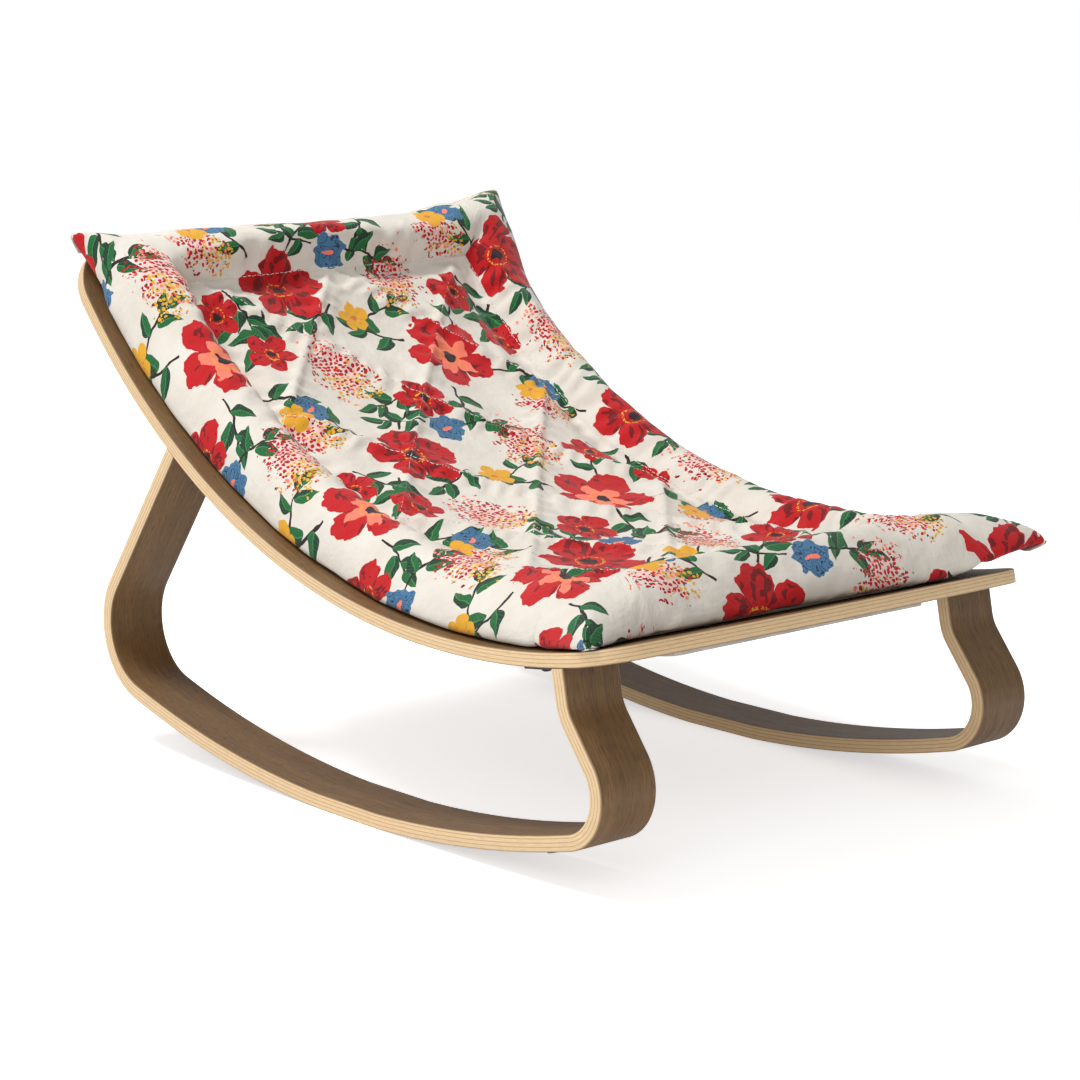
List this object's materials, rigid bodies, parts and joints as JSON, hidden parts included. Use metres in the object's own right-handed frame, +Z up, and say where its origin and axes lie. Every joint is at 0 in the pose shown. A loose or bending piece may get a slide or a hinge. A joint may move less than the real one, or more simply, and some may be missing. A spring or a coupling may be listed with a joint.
{
  "type": "baby rocker",
  "caption": "Low reclined baby rocker: curved plywood seat shell on bent plywood runners, with a loose quilted floral cushion.",
  "frame": {"origin": "on the floor, on the mid-plane, at the centre of the object's bounding box in plan", "axes": "+Z up, +Y towards the head end, +X to the right of somebody who looks at the foot end"},
  "size_m": [0.42, 0.6408, 0.4004],
  "materials": {
    "walnut_plywood": "satin",
    "quilted_cotton": "matte",
    "dark_steel": "satin",
    "grey_steel": "satin",
    "rubber": "matte",
    "hook_tape": "matte",
    "loop_tape": "matte"
  },
  "bodies": {
    "seat": {"counterweight_plate": "grey_steel", "counterweight_screw_1": "dark_steel", "counterweight_screw_2": "dark_steel", "counterweight_screw_3": "dark_steel", "counterweight_screw_4": "dark_steel", "foot_hook_strip": "hook_tape", "head_hook_strip": "hook_tape", "left_back_bracket": "dark_steel", "left_back_leg_screw_1": "dark_steel", "left_back_leg_screw_2": "dark_steel", "left_back_shell_screw_1": "dark_steel", "left_back_shell_screw_2": "dark_steel", "left_back_stop_pad": "rubber", "left_front_bracket": "dark_steel", "left_front_leg_screw_1": "dark_steel", "left_front_leg_screw_2": "dark_steel", "left_front_shell_screw_1": "dark_steel", "left_front_shell_screw_2": "dark_steel", "left_front_stop_pad": "rubber", "left_rocker": "walnut_plywood", "middle_hook_strip": "hook_tape", "right_back_bracket": "dark_steel", "right_back_leg_screw_1": "dark_steel", "right_back_leg_screw_2": "dark_steel", "right_back_shell_screw_1": "dark_steel", "right_back_shell_screw_2": "dark_steel", "right_back_stop_pad": "rubber", "right_front_bracket": "dark_steel", "right_front_leg_screw_1": "dark_steel", "right_front_leg_screw_2": "dark_steel", "right_front_shell_screw_1": "dark_steel", "right_front_shell_screw_2": "dark_steel", "right_front_stop_pad": "rubber", "right_rocker": "walnut_plywood", "seat_shell": "walnut_plywood"},
    "cushion": {"cushion": "quilted_cotton", "foot_loop_strip": "loop_tape", "head_loop_strip": "loop_tape", "middle_loop_strip": "loop_tape"}
  },
  "joints": [
    {"name": "cushion_lift", "type": "slide", "parent": "seat", "child": "cushion", "axis": [0, 0, 1], "range_m": [0, 0.25]}
  ]
}
